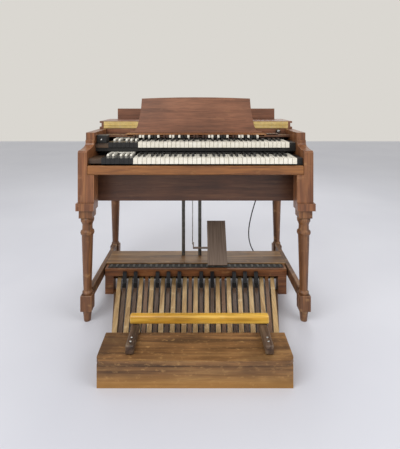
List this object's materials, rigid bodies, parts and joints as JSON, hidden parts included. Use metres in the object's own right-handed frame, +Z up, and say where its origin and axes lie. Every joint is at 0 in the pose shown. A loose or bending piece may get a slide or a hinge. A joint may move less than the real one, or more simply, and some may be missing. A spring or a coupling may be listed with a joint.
{
  "type": "electronic organ",
  "caption": "Two-manual console organ on turned legs with fold-back lid, music desk, drawbars, expression pedal and radiating pedalboard.",
  "frame": {"origin": "on the floor, at the centre of the box round the organ without its free cord", "axes": "+Z up, +X to the player's right, +Y away from the player"},
  "size_m": [1.236, 1.1433, 1.175],
  "materials": {
    "walnut": "satin varnish, worn",
    "worn": "worn varnish",
    "dark": "dark stain",
    "orange": "orange-brown varnish",
    "maple": "clear varnish",
    "yellow": "yellow varnish",
    "ivory": "gloss",
    "black": "gloss",
    "brown": "gloss",
    "paint": "satin",
    "brass": "polished",
    "steel": "brushed",
    "grey": "worn",
    "rubber": "matt",
    "ebony": "black stain"
  },
  "bodies": {
    "root": {"back_panel": "walnut", "case_floor": "dark", "conduit_tube_left": "grey", "conduit_tube_right": "grey", "control_deck": "dark", "cord_coil": "rubber", "cord_gland": "rubber", "desk_shelf": "orange", "fascia_board": "walnut", "foot_rail": "yellow", "heel_box": "worn", "heel_box_top": "worn", "hinge_leaf_case": "brass", "key_bed": "dark", "key_slip": "orange", "knee_panel": "dark", "leg_back_left": "worn", "leg_back_right": "worn", "leg_front_left": "worn", "leg_front_right": "worn", "lower_key_frame": "paint", "lower_left_block": "worn", "pedal_switch_housing": "dark", "pedalboard_frame": "orange", "plug": "black", "power_cord": "rubber", "rail_bracket_left": "dark", "rail_bracket_right": "dark", "side_left": "walnut", "side_right": "walnut", "stretcher_left": "worn", "stretcher_right": "worn", "swell_bracket": "paint", "switch_box": "paint", "tone_generator": "grey", "top_board": "walnut", "upper_key_frame": "paint", "upper_left_block": "worn"},
    "lid": {"lid_panel": "walnut", "lid_strip": "walnut", "hinge_leaf_lid": "brass"},
    "desk": {"music_desk": "walnut"},
    "rotary_knob": {"rotary_knob": "black"},
    "run_lever": {"run_lever": "steel"},
    "percussion_tabs": {"percussion_tabs": "brown"},
    "expression_pedal": {"expression_pedal": "grey"},
    "swell_rod": {"swell_rod": "steel"},
    "lower_naturals": {"lower_naturals": "ivory"},
    "lower_sharps": {"lower_sharps": "black"},
    "lower_presets": {"lower_presets": "black"},
    "upper_naturals": {"upper_naturals": "ivory"},
    "upper_sharps": {"upper_sharps": "black"},
    "upper_presets": {"upper_presets": "black"},
    "drawbars_1": {"drawbars_1": "black"},
    "drawbars_2": {"drawbars_2": "black"},
    "drawbars_3": {"drawbars_3": "black"},
    "drawbars_4": {"drawbars_4": "black"},
    "drawbars_5": {"drawbars_5": "black"},
    "pedal_naturals": {"pedal_naturals": "maple"},
    "pedal_sharps": {"pedal_sharps": "ebony"}
  },
  "joints": [
    {"name": "lid_fold", "type": "hinge", "parent": "root", "child": "lid", "pos_m": [0, 0.257, 1.0005], "axis": [1, 0, 0], "range_deg": [0, 180]},
    {"name": "desk_fold", "type": "hinge", "parent": "root", "child": "desk", "pos_m": [0, 0.2225, 0.9545], "axis": [1, 0, 0], "range_deg": [0, 98]},
    {"name": "lower_naturals_press", "type": "hinge", "parent": "root", "child": "lower_naturals", "pos_m": [0, 0.0815, 0.8447], "axis": [1, 0, 0], "range_deg": [0, 2.1], "stiffness_Nm_per_rad": 80, "springref_deg": -8.59},
    {"name": "lower_sharps_press", "type": "hinge", "parent": "root", "child": "lower_sharps", "pos_m": [0, 0.1025, 0.8617], "axis": [1, 0, 0], "range_deg": [0, 2.2], "stiffness_Nm_per_rad": 80, "springref_deg": -8.59},
    {"name": "lower_presets_press", "type": "hinge", "parent": "root", "child": "lower_presets", "pos_m": [0, 0.0815, 0.8447], "axis": [1, 0, 0], "range_deg": [0, 2.1], "stiffness_Nm_per_rad": 30, "springref_deg": -8.59},
    {"name": "upper_naturals_press", "type": "hinge", "parent": "root", "child": "upper_naturals", "pos_m": [0, 0.2335, 0.9092], "axis": [1, 0, 0], "range_deg": [0, 2.1], "stiffness_Nm_per_rad": 80, "springref_deg": -8.59},
    {"name": "upper_sharps_press", "type": "hinge", "parent": "root", "child": "upper_sharps", "pos_m": [0, 0.2545, 0.9262], "axis": [1, 0, 0], "range_deg": [0, 2.2], "stiffness_Nm_per_rad": 80, "springref_deg": -8.59},
    {"name": "upper_presets_press", "type": "hinge", "parent": "root", "child": "upper_presets", "pos_m": [0, 0.2335, 0.9092], "axis": [1, 0, 0], "range_deg": [0, 2.1], "stiffness_Nm_per_rad": 30, "springref_deg": -8.59},
    {"name": "drawbars_1_pull", "type": "slide", "parent": "root", "child": "drawbars_1", "axis": [0, -1, 0], "range_m": [0, 0.072]},
    {"name": "drawbars_2_pull", "type": "slide", "parent": "root", "child": "drawbars_2", "axis": [0, -1, 0], "range_m": [0, 0.072]},
    {"name": "drawbars_3_pull", "type": "slide", "parent": "root", "child": "drawbars_3", "axis": [0, -1, 0], "range_m": [0, 0.072]},
    {"name": "drawbars_4_pull", "type": "slide", "parent": "root", "child": "drawbars_4", "axis": [0, -1, 0], "range_m": [0, 0.072]},
    {"name": "drawbars_5_pull", "type": "slide", "parent": "root", "child": "drawbars_5", "axis": [0, -1, 0], "range_m": [0, 0.072]},
    {"name": "knob_turn", "type": "hinge", "parent": "root", "child": "rotary_knob", "pos_m": [0.515, 0.246, 0.9625], "axis": [0, -1, 0], "range_deg": [0, 270]},
    {"name": "lever_flip", "type": "hinge", "parent": "root", "child": "run_lever", "pos_m": [-0.5322, 0.0179, 0.9336], "axis": [1, 0, 0], "range_deg": [-6, 6]},
    {"name": "tabs_rock", "type": "hinge", "parent": "root", "child": "percussion_tabs", "pos_m": [0, 0.1515, 0.9518], "axis": [1, 0, 0], "range_deg": [-8, 8]},
    {"name": "expression_tilt", "type": "hinge", "parent": "root", "child": "expression_pedal", "pos_m": [0.131, 0.2515, 0.226], "axis": [-1, 0, 0], "range_deg": [0, 20]},
    {"name": "rod_lift", "type": "slide", "parent": "root", "child": "swell_rod", "axis": [0, 0, -1], "range_m": [0, 0.0192]},
    {"name": "pedal_naturals_press", "type": "hinge", "parent": "root", "child": "pedal_naturals", "pos_m": [0, -0.5245, 0.05], "axis": [-1, 0, 0], "range_deg": [0, 1.6], "stiffness_Nm_per_rad": 300, "springref_deg": -11.46},
    {"name": "pedal_sharps_press", "type": "hinge", "parent": "root", "child": "pedal_sharps", "pos_m": [0, -0.4915, 0.0266], "axis": [-1, 0, 0], "range_deg": [0, 1.6], "stiffness_Nm_per_rad": 300, "springref_deg": -11.46}
  ],
  "couplings": [
    {"joint": "desk_fold", "follows": "lid_fold", "ratio": 0.5444},
    {"joint": "rod_lift", "follows": "expression_tilt", "m_per_rad": 0.0547}
  ]
}
